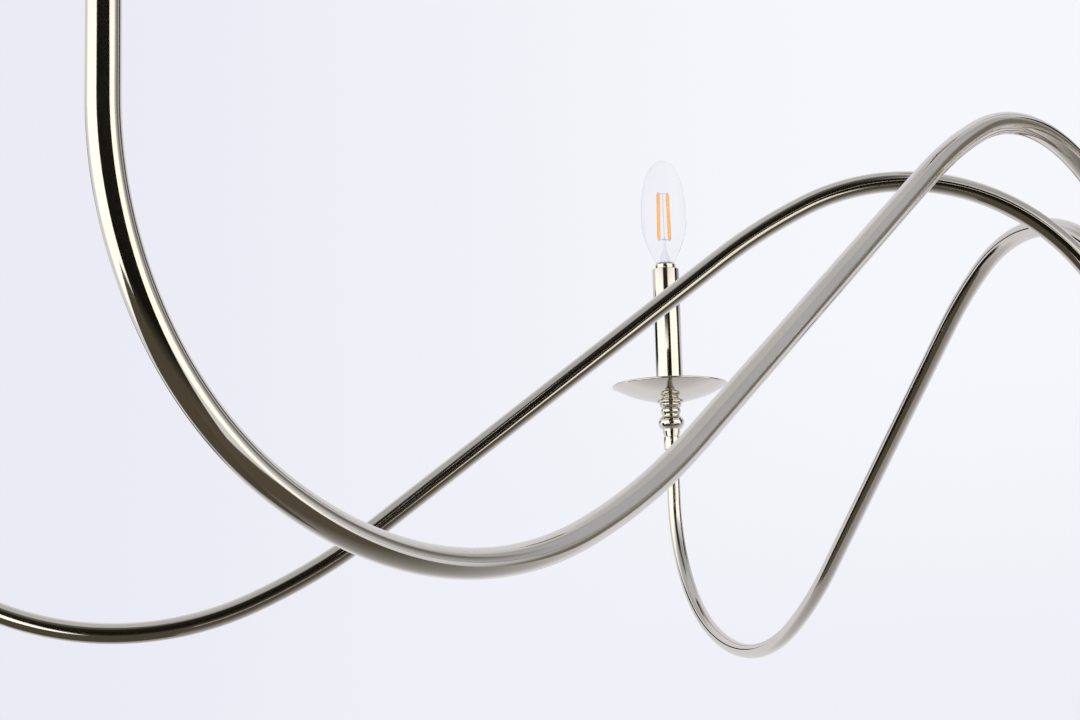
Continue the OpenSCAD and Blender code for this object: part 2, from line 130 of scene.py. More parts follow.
def lathe_mesh(outline, closed, sides, wobble=None):
    """Points, faces and UVs of an outline in mm turned round Z.

    Ends on the axis close to a point. wobble(turn, across, up) gives the mm to add to the radius there.
    """
    points, rings, faces, uvs = [], [], [], []
    travelled = [0.0]
    for a, b in zip(outline, outline[1:]):
        travelled.append(travelled[-1] + math.dist(a, b))
    for across, up in outline:
        if across < 1e-6:
            rings.append([len(points)] * sides)
            points.append((0.0, 0.0, up * MM))
            continue
        rings.append(list(range(len(points), len(points) + sides)))
        for s in range(sides):
            turn = 2 * math.pi * s / sides
            reach = across + (wobble(turn, across, up) if wobble else 0)
            points.append((reach * MM * math.cos(turn), reach * MM * math.sin(turn), up * MM))
    count = len(rings)
    for k in range(count if closed else count - 1):
        low, high = rings[k], rings[(k + 1) % count]
        v0, v1 = travelled[k], travelled[k + 1] if k + 1 < count else travelled[-1] + 1
        for s in range(sides):
            t = (s + 1) % sides
            corners = [(low[s], s, v0), (low[t], s + 1, v0), (high[t], s + 1, v1), (high[s], s, v1)]
            kept = [c for n, c in enumerate(corners) if c[0] != corners[n - 1][0]]
            if len(kept) < 3:
                continue
            faces.append([c[0] for c in kept])
            uvs += [(c[1] / sides, c[2] * MM) for c in kept]
    return points, faces, uvs


def lathe(name, outline, place, material, closed=True, sides=96, wobble=None, sharp=40):
    """A turned piece. A closed outline is a ring or a tube; an open one starts and ends on the axis."""
    points, faces, uvs = lathe_mesh(outline, closed, sides, wobble)
    return new_piece(name, points, faces, uvs, place, material, sharp)


def sweep_tube(name, path, outer, inner, place, material, sides=64):
    """A hollow round tube along a path of (x, z, heading) in the XZ plane, in mm and radians."""
    points, faces, uvs = [], [], []
    travelled = [0.0]
    for a, b in zip(path, path[1:]):
        travelled.append(travelled[-1] + math.dist(a[:2], b[:2]))
    for radius in (outer, inner):
        for x, z, heading in path:
            for s in range(sides):
                turn = 2 * math.pi * s / sides
                inside = radius * math.cos(turn)
                points.append((
                    (x - inside * math.sin(heading)) * MM,
                    radius * math.sin(turn) * MM,
                    (z + inside * math.cos(heading)) * MM,
                ))
    count = len(path)

    def at(skin, ring, s):
        return (skin * count + ring) * sides + s % sides

    for s in range(sides):
        for ring in range(count - 1):
            for skin in (0, 1):
                strip = [(ring, s), (ring, s + 1), (ring + 1, s + 1), (ring + 1, s)]
                strip = strip if skin else strip[::-1]
                faces.append([at(skin, r, q) for r, q in strip])
                uvs += [(q / sides, travelled[r] * MM) for r, q in strip]
        for ring, order in ((0, 1), (count - 1, -1)):
            cap = [at(0, ring, s), at(0, ring, s + 1), at(1, ring, s + 1), at(1, ring, s)]
            faces.append(cap[::order])
            uvs += [(s / sides, travelled[ring] * MM)] * 4
    return new_piece(name, points, faces, uvs, place, material)


def prism(name, outline, thickness, place, material, edge=0.4):
    """A flat plate of an outline in the XZ plane, in mm, centred on Y, with eased edges."""
    count = len(outline)
    half = thickness / 2
    centre = Vector((sum(p[0] for p in outline) / count, sum(p[1] for p in outline) / count))
    points, faces, uvs = [], [], []
    for y, inset in ((-half, edge), (-half + edge, 0), (half - edge, 0), (half, edge)):
        for p in outline:
            toward = (centre - Vector(p)).normalized() * inset
            points.append(((p[0] + toward.x) * MM, y * MM, (p[1] + toward.y) * MM))
    for layer in range(3):
        for k in range(count):
            n = (k + 1) % count
            base, top = layer * count, (layer + 1) * count
            faces.append([base + k, base + n, top + n, top + k])
    faces.append(list(range(count))[::-1])
    faces.append([3 * count + k for k in range(count)])
    for face in faces:
        uvs += [(points[v][0], points[v][2]) for v in face]
    return new_piece(name, points, faces, uvs, place, material, sharp=30)


# ---------------------------------------------------------------- materials


def new_material(name, colour, metallic=0.0, roughness=0.3, **more):
    """A Principled material with even values, with its nodes, links and shader."""
    material = bpy.data.materials.new(name)
    material.use_nodes = True
    nodes, links = material.node_tree.nodes, material.node_tree.links
    shader = nodes["Principled BSDF"]
    shader.inputs["Base Color"].default_value = (*colour, 1)
    shader.inputs["Metallic"].default_value = metallic
    shader.inputs["Roughness"].default_value = roughness
    for socket, value in more.items():
        shader.inputs[socket.replace("_", " ")].default_value = value
    return material, nodes, links, shader


def noise(nodes, links, source, stretch, scale, detail=3.0, roughness=0.55):
    """A noise value on coordinates that are stretched first."""
    mapping = nodes.new("ShaderNodeMapping")
    mapping.inputs["Scale"].default_value = stretch
    links.new(source, mapping.inputs["Vector"])
    texture = nodes.new("ShaderNodeTexNoise")
    texture.inputs["Scale"].default_value = scale
    texture.inputs["Detail"].default_value = detail
    texture.inputs["Roughness"].default_value = roughness
    links.new(mapping.outputs["Vector"], texture.inputs["Vector"])
    return texture.outputs["Fac"]


def spread(nodes, links, value, low, high, start=0.35, end=0.65):
    """A value from start to end mapped to low to high, and held there outside."""
    ramp = nodes.new("ShaderNodeMapRange")
    ramp.inputs["From Min"].default_value = start
    ramp.inputs["From Max"].default_value = end
    ramp.inputs["To Min"].default_value = low
    ramp.inputs["To Max"].default_value = high
    links.new(value, ramp.inputs["Value"])
    return ramp.outputs["Result"]


def tone_between(nodes, links, factor, low, high):
    """A colour from low to high by a factor from 0 to 1."""
    tone = nodes.new("ShaderNodeMix")
    tone.data_type = "RGBA"
    tone.inputs["A"].default_value = (*low, 1)
    tone.inputs["B"].default_value = (*high, 1)
    links.new(factor, tone.inputs["Factor"])
    return tone.outputs["Result"]


def combine(nodes, links, operation, a, b):
    """Two values put together by a math operation."""
    node = nodes.new("ShaderNodeMath")
    node.operation = operation
    links.new(a, node.inputs[0])
    links.new(b, node.inputs[1])
    return node.outputs[0]


def bump(nodes, links, shader, height, strength, distance):
    """Small relief on the shader's normal, stacked on what is there."""
    node = nodes.new("ShaderNodeBump")
    node.inputs["Strength"].default_value = strength
    node.inputs["Distance"].default_value = distance
    links.new(height, node.inputs["Height"])
    if shader.inputs["Normal"].is_linked:
        links.new(shader.inputs["Normal"].links[0].from_socket, node.inputs["Normal"])
    links.new(node.outputs["Normal"], shader.inputs["Normal"])


def polished_nickel(name, grain_stretch, relief):
    """Polished nickel with smudges, faint polishing lines along the grain and a slightly wavy skin."""
    material, nodes, links, shader = new_material(name, NICKEL_COLOUR, 1.0, 0.08)
    place = nodes.new("ShaderNodeTexCoord")
    smudge = noise(nodes, links, place.outputs["Object"], (1, 1, 1), 16, 4)
    specks = noise(nodes, links, place.outputs["Object"], (1, 1, 1), 260, 2)
    lines = noise(nodes, links, place.outputs["UV"], grain_stretch, 1, 3, 0.6)
    haze = combine(nodes, links, "ADD",
                   spread(nodes, links, smudge, 0.045, 0.085),
                   spread(nodes, links, specks, 0.0, 0.03, 0.5, 0.75))
    haze = combine(nodes, links, "ADD", haze, spread(nodes, links, lines, 0.0, 0.04, 0.45, 0.75))
    links.new(haze, shader.inputs["Roughness"])
    smudged = spread(nodes, links, smudge, 0.0, 1.0, 0.45, 0.8)
    tone = tone_between(nodes, links, smudged, NICKEL_COLOUR, [c * 0.9 for c in NICKEL_COLOUR])
    links.new(tone, shader.inputs["Base Color"])
    bump(nodes, links, shader, lines, relief, 0.00002)
    bump(nodes, links, shader, smudge, 0.03, 0.0002)
    return material


NICKEL_COLOUR = (0.72, 0.68, 0.61)
NICKEL_DRAWN = polished_nickel("nickel_drawn", (24, 1.5, 1), 0.05)
NICKEL_TURNED = polished_nickel("nickel_turned", (2, 2600, 1), 0.12)


def plated_steel():
    """Zinc plated steel: dull, mottled and finely scratched."""
    material, nodes, links, shader = new_material("zinc_steel", (0.55, 0.56, 0.57), 1.0, 0.35)
    place = nodes.new("ShaderNodeTexCoord")
    mottle = noise(nodes, links, place.outputs["Object"], (1, 1, 1), 120, 4)
    scratch = noise(nodes, links, place.outputs["Object"], (900, 60, 900), 1, 3)
    links.new(combine(nodes, links, "ADD",
                      spread(nodes, links, mottle, 0.25, 0.42),
                      spread(nodes, links, scratch, 0.0, 0.12)), shader.inputs["Roughness"])
    mottled = spread(nodes, links, mottle, 0.0, 1.0)
    tone = tone_between(nodes, links, mottled, (0.58, 0.59, 0.6), (0.44, 0.44, 0.42))
    links.new(tone, shader.inputs["Base Color"])
    bump(nodes, links, shader, scratch, 0.3, 0.00003)
    return material


def moulded_socket():
    """Off-white glazed socket body with a faint orange peel."""
    material, nodes, links, shader = new_material("socket_body", (0.78, 0.75, 0.68), 0.0, 0.22)
    place = nodes.new("ShaderNodeTexCoord")
    peel = noise(nodes, links, place.outputs["Object"], (1, 1, 1), 500, 2)
    stain = noise(nodes, links, place.outputs["Object"], (1, 1, 1), 60, 3)
    stained = spread(nodes, links, stain, 0.0, 1.0)
    tone = tone_between(nodes, links, stained, (0.8, 0.77, 0.7), (0.7, 0.65, 0.56))
    links.new(tone, shader.inputs["Base Color"])
    links.new(spread(nodes, links, stain, 0.16, 0.3), shader.inputs["Roughness"])
    bump(nodes, links, shader, peel, 0.25, 0.0001)
    return material


def clear_glass(name, colour):
    """Clear blown glass with a faint unevenness."""
    material, nodes, links, shader = new_material(name, colour, 0.0, 0.0)
    shader.inputs["Transmission Weight"].default_value = 1.0
    shader.inputs["IOR"].default_value = 1.2
    place = nodes.new("ShaderNodeTexCoord")
    wave = noise(nodes, links, place.outputs["Object"], (1, 1, 0.5), 70, 1)
    bump(nodes, links, shader, wave, 0.05, 0.0002)
    return material


def lit_filament():
    """Amber coated filament, glowing a little unevenly along its length."""
    material, nodes, links, shader = new_material("lit_filament", (0.35, 0.17, 0.06), 0.0, 0.5)
    place = nodes.new("ShaderNodeTexCoord")
    beads = noise(nodes, links, place.outputs["Object"], (1, 1, 1), 700, 2)
    shader.inputs["Emission Color"].default_value = (1.0, 0.5, 0.17, 1)
    links.new(spread(nodes, links, beads, 0.62, 0.85), shader.inputs["Emission Strength"])
    bump(nodes, links, shader, beads, 0.4, 0.0002)
    return material


def lead_wire():
    """Pale tinned wire, a little uneven."""
    material, nodes, links, shader = new_material("lead_wire", (0.8, 0.77, 0.76), 0.0, 0.4)
    place = nodes.new("ShaderNodeTexCoord")
    grain = noise(nodes, links, place.outputs["Object"], (1, 1, 1), 900, 2)
    links.new(spread(nodes, links, grain, 0.3, 0.5), shader.inputs["Roughness"])
    bump(nodes, links, shader, grain, 0.2, 0.00003)
    return material


STEEL = plated_steel()
LEAD_WIRE = lead_wire()
SOCKET_BODY = moulded_socket()
BULB_GLASS = clear_glass("bulb_glass", (0.985, 0.985, 0.99))
STEM_GLASS = clear_glass("stem_glass", (0.9, 0.92, 0.95))
FILAMENT = lit_filament()

# ---------------------------------------------------------------- arms

TUBE_R, TUBE_INNER_R = 5.0, 4.0
HUB_H = (HUB_TOP - HUB_BOTTOM) / MM
FOOT_CIRCLE = 18.5
STUB = HUB_H + 5
# The arm's stretches from the foot to the candle, as (radius or length in mm, turn in degrees).
ARM_RUN = [
    (STUB + 4.5, 0), (110, 115.7), (265, 11.1), (210, 0), (295, -13.5), (157, -52.2), (117, -61.1), (44, 0),
]
BEND_STEP = 1.6
STRAIGHT_STEPS = 6


def arm_path():
    """The tube's centreline as (out, up, heading), with up measured from the hub plate's top."""
    out, up, heading = FOOT_CIRCLE, -STUB, math.pi / 2
    path = [(out, up, heading)]
    for size, turn in ARM_RUN:
        if turn == 0:
            for k in range(1, STRAIGHT_STEPS + 1):
                d = size * k / STRAIGHT_STEPS
                path.append((out + d * math.cos(heading), up + d * math.sin(heading), heading))
        else:
            side = math.copysign(1, turn)
            steps = math.ceil(abs(turn) / BEND_STEP)
            centre = (out + side * size * math.sin(heading), up - side * size * math.cos(heading))
            for k in range(1, steps + 1):
                h = heading - math.radians(turn) * k / steps
                path.append((centre[0] - side * size * math.sin(h), centre[1] + side * size * math.cos(h), h))
        out, up, heading = path[-1]
    return path


def make_arm(number):
    """The bent tube and the collar that seats it on the hub plate."""
    azimuth = candle_axis(number)[2]
    place = Matrix.Rotation(azimuth, 4, "Z") @ Matrix.Translation((0, 0, HUB_TOP))
    tube = sweep_tube(f"arm_tube_{number}", arm_path(), TUBE_R, TUBE_INNER_R, place, NICKEL_DRAWN)
    bore, low, high = TUBE_R + 0.01, 0.2, 4.2
    collar_outline = rounded([
        (bore, low, 0), (6.4, low, 0.2), (6.4, 2.6, 0.5), (5.7, 3.3, 0.4), (5.5, high, 0.2), (bore, high, 0),
    ])
    foot = place @ Matrix.Translation((FOOT_CIRCLE * MM, 0, 0))
    collar = lathe(f"arm_collar_{number}", collar_outline, foot, NICKEL_TURNED, sides=64)
    for piece in (tube, collar):
        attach(piece, f"arm_{number}")
    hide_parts(f"arm_{number}")


# ---------------------------------------------------------------- candles


def ball_rise(reach, seat, depth):
    """Height of the centre of the ball that passes through the saucer's seat edge and its rim."""
    return (reach ** 2 - seat ** 2 + depth ** 2) / (2 * depth)


def cup_outline():
    """The turned cup from its lower edge up, ferrule, taper, beads and seat, and down its bore."""
    def bead(up, ring, radius, start, end):
        return arc((ring, up), radius, start, end, 16)
    outside = rounded([(5.03, 0.0), (6.1, 0.0, 0.35), (6.1, 9.6, 0.45), (5.5, 9.9, 0.1), (6.6, 13.6, 1.2)])
    return (
        outside
        + bead(20.5, 4.25, 5.65, -64, 64)
        + bead(29.5, 4.3, 3.35, -40, 40)
        + bead(34.4, 6.5, 1.9, -60, 50)
        + rounded([(8.0, 36.0, 0.1), (10.2, 36.0, 0.3), (10.2, 37.2, 0.3), (4.9, 37.2), (4.9, 51.2, 0.3),
                   (3.0, 51.2), (3.0, 8.3), (5.03, 8.3)])
    )


def saucer_outline():
    """The saucer's underside from its hole to the rolled rim, and back along its inside."""
    reach, seat, depth, wall, rim = 44.0, 11.0, 12.0, 0.9, 0.9
    centre = ball_rise(reach, seat, depth)
    ball = math.hypot(seat, centre)

    def dish(radius, start, end):
        points = []
        for k in range(33):
            across = start + (end - start) * k / 32
            points.append((across, centre - math.sqrt(radius ** 2 - across ** 2)))
        return points
    under = dish(ball, seat, reach - 0.7)
    inside = dish(ball - wall, reach - 2.3, math.sqrt((ball - wall) ** 2 - (centre - wall) ** 2))
    lip = arc((reach - rim, depth), rim, -38, 200, 18)
    return [(4.95, 0.0), (seat - 0.8, 0.0)] + under + lip + inside + [(4.95, wall)]


def make_candle(number):
    """Cup, saucer, sleeve and lamp socket at the end of an arm."""
    at = candle_place(number)
    sleeve_h = (SLEEVE_TOP - SLEEVE_BOTTOM) / MM
    sleeve_r, sleeve_inner_r = 10.3, 9.4
    sleeve_outline = rounded([
        (sleeve_inner_r, 0.0, 0.1), (sleeve_r, 0.0, 0.2), (sleeve_r, sleeve_h, 0.4),
        (sleeve_inner_r, sleeve_h, 0.3),
    ], loop=True)
    top = (SOCKET_TOP - SLEEVE_BOTTOM) / MM
    body_r, bore, body_bottom, bore_bottom = 8.4, 6.3, top - 34, top - 24
    body_outline = rounded([
        (0, body_bottom), (6.6, body_bottom, 0.8), (body_r, top - 30, 1.0), (body_r, top, 0.6),
        (bore + 0.7, top, 0.3), (bore + 0.7, bore_bottom), (0, bore_bottom),
    ])
    liner_low, liner_high = top - 23, top - 2
    liner_outline = rounded([
        (bore, liner_low), (bore + 0.6, liner_low), (bore + 0.6, liner_high, 0.2), (bore, liner_high, 0.2),
    ], loop=True)
    foot_outline = rounded([(4.95, 0.0), (7.5, 0.0, 0.3), (7.5, 12.0, 0.5), (4.95, 12.0)])
    cup = lathe(f"cup_turned_{number}", cup_outline(), at(CUP_BOTTOM), NICKEL_TURNED, sides=96)
    saucer = lathe(f"saucer_{number}", saucer_outline(), at(SAUCER_SEAT), NICKEL_TURNED, sides=160)
    sleeve = lathe(f"candle_sleeve_{number}", sleeve_outline, at(SLEEVE_BOTTOM), NICKEL_DRAWN, sides=96)
    body = lathe(f"socket_body_{number}", body_outline, at(SLEEVE_BOTTOM), SOCKET_BODY,
                 closed=False, sides=64)
    liner = lathe(f"socket_liner_{number}", liner_outline, at(SLEEVE_BOTTOM), STEEL, sides=64,
                  wobble=thread(0.35, 2.5))
    foot = lathe(f"socket_foot_{number}", foot_outline, at(SLEEVE_BOTTOM), STEEL, sides=48)
    half, low, high, thickness, out = 4, 6.0, 72.0, 1.2, 6.9
    strap_outline = [(-half, low), (half, low), (half, high), (-half, high)]
    strap = prism(f"socket_strap_{number}", strap_outline, thickness,
                  at(SLEEVE_BOTTOM) @ Matrix.Translation((0, out * MM, 0)), STEEL)
    for piece, node, slot in (
        (cup, f"cup_{number}", "nickel"), (saucer, f"bobeche_{number}", "nickel"),
        (sleeve, f"sleeve_{number}", "nickel"), (body, f"socket_{number}", "socket"),
        (liner, None, "steel"), (foot, None, "steel"), (strap, None, "steel"),
    ):
        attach(piece, f"arm_{number}")
        if node:
            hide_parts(node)


# ---------------------------------------------------------------- bulbs


def thread(depth, pitch):
    """A wobble for lathe() that cuts a round helical thread into a wall, inward from its crest."""
    def cut(turn, across, up):
        return -depth * (0.5 - 0.5 * math.cos(turn - 2 * math.pi * up / pitch))
    return cut


GLASS_BELLY = 17.5  # the bulb's largest radius in mm


def glass_radius(up, height):
    """Radius of the bulb's glass above its neck: a sine to the belly, then a flattened oval to the tip."""
    neck, belly_up, power = 7.0, 33.4, 2.3
    if up < belly_up:
        return neck + (GLASS_BELLY - neck) * math.sin(math.pi / 2 * up / belly_up)
    along = min(1.0, (up - belly_up) / (height - belly_up))
    return GLASS_BELLY * (1 - along ** power) ** (1 / power)


def glass_outline(height, wall=0.6, steps=48):
    """The glass shell, up the outside to the tip and down the inside."""
    outside = []
    for k in range(steps):
        up = height * math.sin(math.pi / 2 * k / steps)
        outside.append((glass_radius(up, height), up))
    outside.append((0.0, height))
    across_share, up_share = 1 - wall / GLASS_BELLY, 1 - wall / height
    inside = [(across * across_share, up * up_share) for across, up in outside]
    return outside + inside[::-1]


def make_bulb(number):
    """Base with its screw shell, clear glass, stem, leads and two filaments."""
    at = candle_place(number)
    glass_h = (GLASS_TOP - GLASS_BOTTOM) / MM
    glass = lathe(f"glass_{number}", glass_outline(glass_h), at(GLASS_BOTTOM), BULB_GLASS,
                  closed=False, sides=96)
    base_h = (GLASS_BOTTOM - BASE_BOTTOM) / MM
    skirt, shell_r, shell_low, row_h = base_h - 5.9, 5.9, 2.2, 0.3
    contact_outline = rounded([(0, 0.0), (2.6, 0.0, 0.6), (3.0, 1.6, 0.3), (5.2, 2.2, 0.3), (0, 2.4)])
    rows = [(shell_r, shell_low + row_h * k) for k in range(1, int((skirt - 2.4) / row_h))]
    shell_outline = [(0, shell_low), (5.2, shell_low)] + rows + [(shell_r, skirt), (0, skirt)]
    shell = lathe(f"bulb_screw_{number}", shell_outline, at(BASE_BOTTOM), NICKEL_TURNED,
                  closed=False, sides=72, wobble=thread(0.45, 3.6), sharp=60)
    contact = lathe(f"bulb_contact_{number}", contact_outline, at(BASE_BOTTOM), STEEL,
                    closed=False, sides=48)
    collar_outline = rounded([
        (0, skirt), (7.7, skirt, 0.3), (7.9, skirt + 0.8, 0.3), (7.9, base_h - 1.7, 0.4),
        (7.55, base_h - 1.2, 0.2), (7.0, base_h - 0.1, 0.3), (0, base_h - 0.1),
    ])
    collar = lathe(f"bulb_skirt_{number}", collar_outline, at(BASE_BOTTOM), NICKEL_TURNED,
                   closed=False, sides=72)
    stem_outline = rounded([
        (0, 0.3), (5.6, 0.3, 0.4), (4.4, 1.2, 0.6), (3.0, 6.0, 3.0), (1.5, 10.5, 3.0), (1.2, 17.0, 0.4),
        (1.7, 18.4, 0.5), (1.4, 19.6, 0.6), (0, 19.8),
    ])
    stem = lathe(f"bulb_stem_{number}", stem_outline, at(GLASS_BOTTOM), STEM_GLASS, closed=False, sides=40)
    low, length, gap, lean = 18.4, 37.0, 4.5, 1.0
    rod_r, tab_r, lead_r, post_r, post_low = 1.4, 0.75, 0.25, 0.2, 19
    rods, leads = [], []
    rod_outline = rounded([(0, 0.8), (rod_r, 0.8, 0.6), (rod_r, length - 0.8, 0.6), (0, length - 0.8)])
    tab_outline = rounded([(0, -0.6), (tab_r, -0.6, 0.2), (tab_r, length + 0.6, 0.2), (0, length + 0.6)])
    for side in (-1, 1):
        stand = (at(GLASS_BOTTOM) @ Matrix.Translation((0, side * gap * MM, low * MM))
                 @ Matrix.Rotation(math.radians(side * lean), 4, "X"))
        inward = Matrix.Rotation(math.radians(side * 90), 4, "X")
        rods.append(lathe(f"filament_rod_{number}", rod_outline, stand, FILAMENT, closed=False, sides=24))
        leads.append(lathe(f"filament_tab_{number}", tab_outline, stand, LEAD_WIRE, closed=False, sides=12))
        for end, reach in ((0.3, gap), (length - 0.3, gap - 0.6)):
            lead_outline = [(0, 0.0), (lead_r, 0.0), (lead_r, reach), (0, reach)]
            across = stand @ Matrix.Translation((0, 0, end * MM)) @ inward
            leads.append(lathe(f"filament_lead_{number}", lead_outline, across, LEAD_WIRE,
                               closed=False, sides=12))
    post_outline = [(0, 0.0), (post_r, 0.0), (post_r, length - 0.6), (0, length - 0.6)]
    post_place = at(GLASS_BOTTOM) @ Matrix.Translation((0, 0, post_low * MM))
    leads.append(lathe(f"filament_post_{number}", post_outline, post_place, LEAD_WIRE,
                       closed=False, sides=12))
    rod = join(rods, f"filaments_{number}")
    lead = join(leads, f"filament_leads_{number}")
    for piece, node, slot in (
        (glass, f"bulb_glass_{number}", "bulb_glass"), (shell, f"bulb_base_{number}", "nickel"),
        (contact, None, "steel"), (collar, None, "nickel"), (stem, None, "bulb_glass"),
        (rod, f"filament_{number}", "filament"), (lead, None, "steel"),
    ):
        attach(piece, f"bulb_{number}")
        if node:
            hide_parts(node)


def join(pieces, name):
    """Several pieces made one mesh piece of that name."""
    with bpy.context.temp_override(active_object=pieces[0], selected_editable_objects=pieces):
        bpy.ops.object.join()
    pieces[0].name = name
    return pieces[0]


# ---------------------------------------------------------------- hub, rod and ceiling parts


def make_hub():
    """Hub plate with a full edge bead, the bowl below it and the turned finial."""
    rod_hole, bowl_r, bowl_inner_r = 6.6, 28.0, 26.5
    bottom = Matrix.Translation((0, 0, HUB_BOTTOM))
    plate_outline = (
        rounded([(rod_hole, 0.0), (27.0, 0.0, 0.5), (28.4, 0.7, 0.3)])
        + arc((29.0, HUB_H / 2), 4.0, -82, 82, 24)
        + rounded([(28.4, HUB_H - 0.7, 0.3), (27.0, HUB_H, 0.5), (rod_hole, HUB_H, 0.2)])
    )
    plate = lathe("hub_disc", plate_outline, bottom, NICKEL_TURNED, sides=160)
    bowl_outline = (
        [(bowl_inner_r, 0.0), (bowl_r - 0.1, 0.0)]
        + arc((0, 0), bowl_r, -1, -67, 32)
        + rounded([(10.0, -25.8, 0.4), (10.0, -bowl_r, 0.4), (rod_hole, -bowl_r)])
        + arc((0, 0), bowl_inner_r, -75, -1, 32)
    )
    bowl = lathe("hub_cover_bowl", bowl_outline, bottom, NICKEL_TURNED, sides=160)
    below = Matrix.Translation((0, 0, HUB_BOTTOM - bowl_r * MM))
    finial_outline = (
        rounded([(0, 0.0), (10.8, 0.0, 0.4), (11.0, -2.2, 0.7), (9.0, -3.0, 0.4),
                 (8.3, -4.0, 0.6), (8.1, -6.2, 0.6)])
        + arc((0, -17.0), 13.0, 51, -72, 36)
        + arc((0, -31.5), 4.5, 52, -90, 20)[:-1]
        + [(0, -36.0)]
    )
    finial = lathe("finial_turned", finial_outline, below, NICKEL_TURNED, closed=False, sides=128)
    for piece, node in ((plate, "hub_plate"), (bowl, "hub_bowl"), (finial, "finial")):
        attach(piece, "frame")
        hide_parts(node)


def ear_outline(length, radius=6.0):
    """A swivel ear: a round eye at the origin with a straight shank down to a length."""
    return [(-radius + 0.3, -length), (radius - 0.3, -length)] + arc((0, 0), radius, 0, 180, 24)


def make_ears(name, turn, up):
    """The two ears of a swivel half; up turns them to stand on their shank."""
    pieces = []
    flip = Matrix.Rotation(math.pi, 4, "X") if up else Matrix.Identity(4)
    for side in (-1, 1):
        place = (Matrix.Translation((0, 0, PIVOT)) @ Matrix.Rotation(math.radians(turn), 4, "Z")
                 @ Matrix.Translation((side * 8.9 * MM, 0, 0)) @ Matrix.Rotation(math.pi / 2, 4, "Z") @ flip)
        pieces.append(prism(f"{name}_ear", ear_outline(14.5), 4.2, place, NICKEL_TURNED))
    return pieces


def make_rod():
    """Hanging rod with its head, ears, seat bead and hub shoulder."""
    head_top = (PIVOT - 14 * MM - HUB_TOP) / MM
    end = (ROD_BOTTOM - HUB_TOP) / MM
    outline = rounded([
        (5.0, end), (6.5, end, 0.5), (6.5, 0.0), (10.5, 0.0, 0.4), (10.5, 4.6, 0.9), (8.6, 6.0, 0.6),
        (6.5, 6.4, 0.5), (6.5, head_top - 14.2, 0.3), (8.4, head_top - 14.0, 0.8),
        (9.2, head_top - 12.6, 0.6), (12.0, head_top - 11.6, 0.8), (12.0, head_top, 0.8),
        (3.5, head_top, 0.3), (3.5, head_top - 16, 0.3), (5.0, head_top - 17),
    ])
    rod = lathe("hanging_rod", outline, Matrix.Translation((0, 0, HUB_TOP)), NICKEL_TURNED, sides=96)
    rod = join([rod] + make_ears("rod", 90, False), "hanging_rod")
    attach(rod, "frame")
    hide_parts("downrod")


RING_R = 20.0  # the canopy ring's outer radius in mm


def knurl(count, depth):
    """A wobble for lathe() that presses round notches into the canopy ring's outer wall."""
    def cut(turn, across, up):
        wave = max(0.0, math.cos(count * turn))
        return -depth * wave ** 3 if across > RING_R - 1 else 0.0
    return cut


def barrel_thread(turn, across, up):
    """A wobble for lathe() that threads the swivel barrel's outer wall and leaves its ends plain."""
    return thread(0.35, 1.5)(turn, across, up) if across > 12.2 else 0.0


def make_canopy():
    """Domed canopy, the knurled ring that carries it and the swivel's fixed half."""
    lip, height, reach, flat, hole, wall = 5.0, -CANOPY_BOTTOM / MM, 65.0, 26.0, 13.0, 1.2
    dome = height - lip
    ball_up = (reach ** 2 - flat ** 2 - dome ** 2) / (2 * dome)
    ball = math.hypot(reach, ball_up)

    def cap(radius, start, end, shift):
        turn = [start + (end - start) * k / 32 for k in range(33)]
        return [(a, ball_up - lip - math.sqrt(radius ** 2 - a ** 2) + shift) for a in turn]
    outside = cap(ball, flat, reach, 0)
    inside = cap(ball - wall, reach - wall, flat, 0)
    outline = (
        [(hole, -height), (flat - 0.6, -height)] + outside
        + rounded([(reach, -0.9), (reach, 0.0, 0.5), (reach - wall, 0.0, 0.4), (reach - wall, -0.9)])
        + inside + [(flat - 0.6, -height + wall), (hole, -height + wall)]
    )
    canopy = lathe("canopy_dome", outline, Matrix.Identity(4), NICKEL_TURNED, sides=192)
    ring_low, ring_high, bore = RING_BOTTOM / MM, CANOPY_BOTTOM / MM, 12.55
    ring_outline = rounded([
        (bore, ring_low), (RING_R - 1, ring_low, 0.3), (RING_R, ring_low + 1.0, 0.3),
        (RING_R, ring_high - 1.0, 0.3), (RING_R - 1, ring_high, 0.3), (bore, ring_high),
    ])
    ring = lathe("canopy_ring_knurled", ring_outline, Matrix.Identity(4), NICKEL_TURNED, sides=288,
                 wobble=knurl(24, 0.6), sharp=50)
    low, barrel_h, plain, row_h = PIVOT / MM + 14, 16, 1.2, 0.25
    rows = [(12.5, low + plain + row_h * k) for k in range(int((barrel_h - 2 * plain) / row_h))]
    barrel_outline = (
        rounded([(4.0, low), (12.0, low, 0.4)]) + rows
        + rounded([(12.0, low + barrel_h, 0.4), (5.0, low + barrel_h)])
    )
    barrel = lathe("swivel_barrel", barrel_outline, Matrix.Identity(4), NICKEL_TURNED, sides=96,
                   wobble=barrel_thread)
    yoke = join([barrel] + make_ears("yoke", 0, True), "swivel_yoke_turned")
    for piece, node in ((canopy, "canopy"), (ring, "canopy_ring"), (yoke, "swivel_yoke")):
        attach(piece, "ceiling")
        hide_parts(node)


def finish_kept_nodes():
    """The small steel parts keep their CAD shape and get the plated steel."""
    for node in ("crossbar", "nipple", "nipple_nuts", "swivel_cross", "arm_nuts"):
        mesh_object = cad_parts[node]
        mesh_object.data.materials.clear()
        mesh_object.data.materials.append(STEEL)


# ---------------------------------------------------------------- studio


